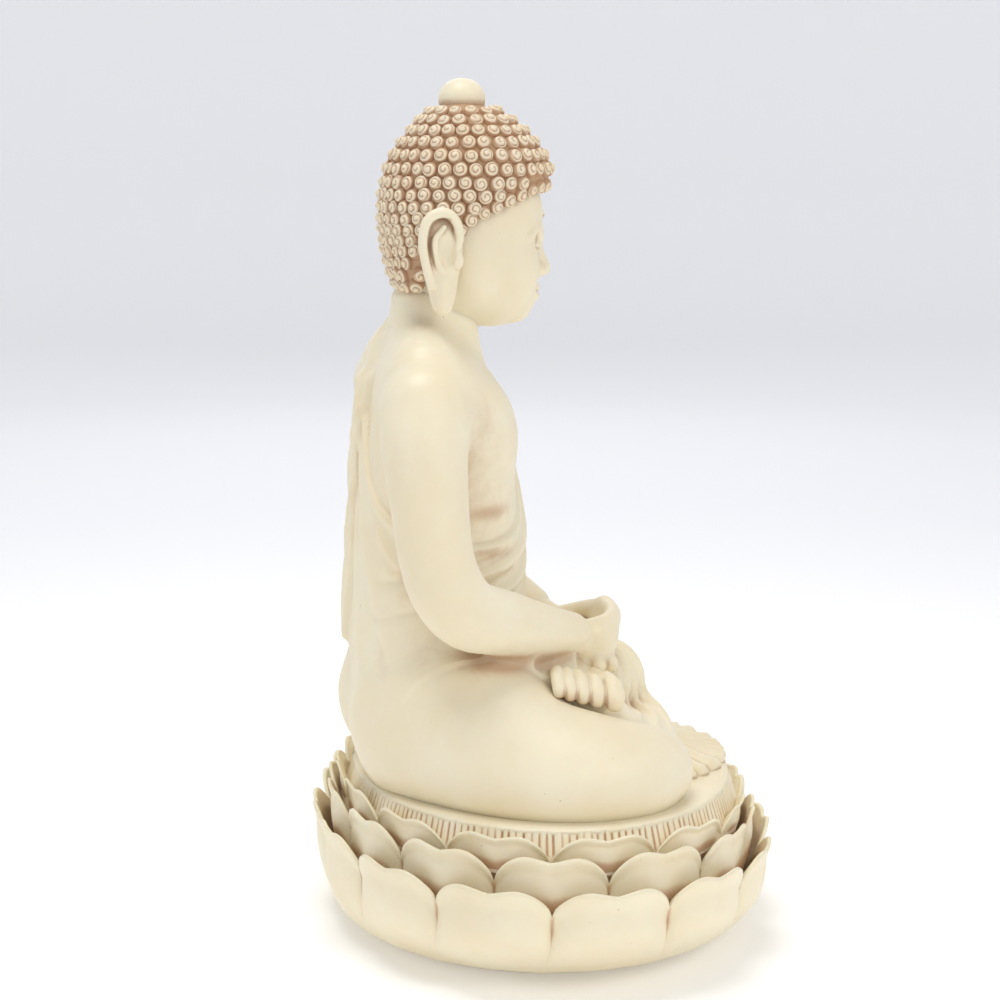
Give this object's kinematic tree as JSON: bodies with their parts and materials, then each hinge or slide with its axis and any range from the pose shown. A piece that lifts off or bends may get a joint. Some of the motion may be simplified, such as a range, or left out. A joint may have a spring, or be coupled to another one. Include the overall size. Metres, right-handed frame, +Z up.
{
  "type": "seated buddha statue",
  "caption": "Seated meditating buddha in cast ivory resin, hands in the lap, on an oval double lotus throne with a flat underside.",
  "frame": {"origin": "middle of the flat underside, at the level the statue stands on", "axes": "+Z up, the statue faces -Y, its right side is at -X"},
  "size_m": [0.3002, 0.2164, 0.4],
  "materials": {
    "resin_ivory": "cast resin, satin matte, with a brown antique wash in the recesses",
    "resin_cream": "cast resin, satin matte, with a brown antique wash in the recesses",
    "resin_wash": "cast resin, satin matte, with a brown antique wash in the recesses"
  },
  "bodies": {
    "root": {"base_plate": "resin_cream", "lotus_core": "resin_ivory", "petals_outer": "resin_ivory", "petals_middle": "resin_ivory", "petals_inner": "resin_ivory", "seat_pod": "resin_cream", "stamen_ring": "resin_wash", "robe_apron": "resin_cream", "right_thigh": "resin_ivory", "right_shin": "resin_ivory", "left_thigh": "resin_ivory", "left_shin": "resin_cream", "left_foot": "resin_ivory", "left_toes": "resin_ivory", "torso": "resin_ivory", "robe_wrap": "resin_cream", "robe_collar": "resin_cream", "back_sash": "resin_cream", "right_arm": "resin_ivory", "right_hand": "resin_ivory", "left_arm": "resin_cream", "left_cuff": "resin_cream", "left_hand": "resin_ivory", "neck": "resin_ivory", "head": "resin_ivory", "urna": "resin_ivory", "right_ear": "resin_ivory", "left_ear": "resin_ivory", "hair_cap": "resin_wash", "ushnisha_jewel": "resin_ivory"}
  },
  "joints": []
}
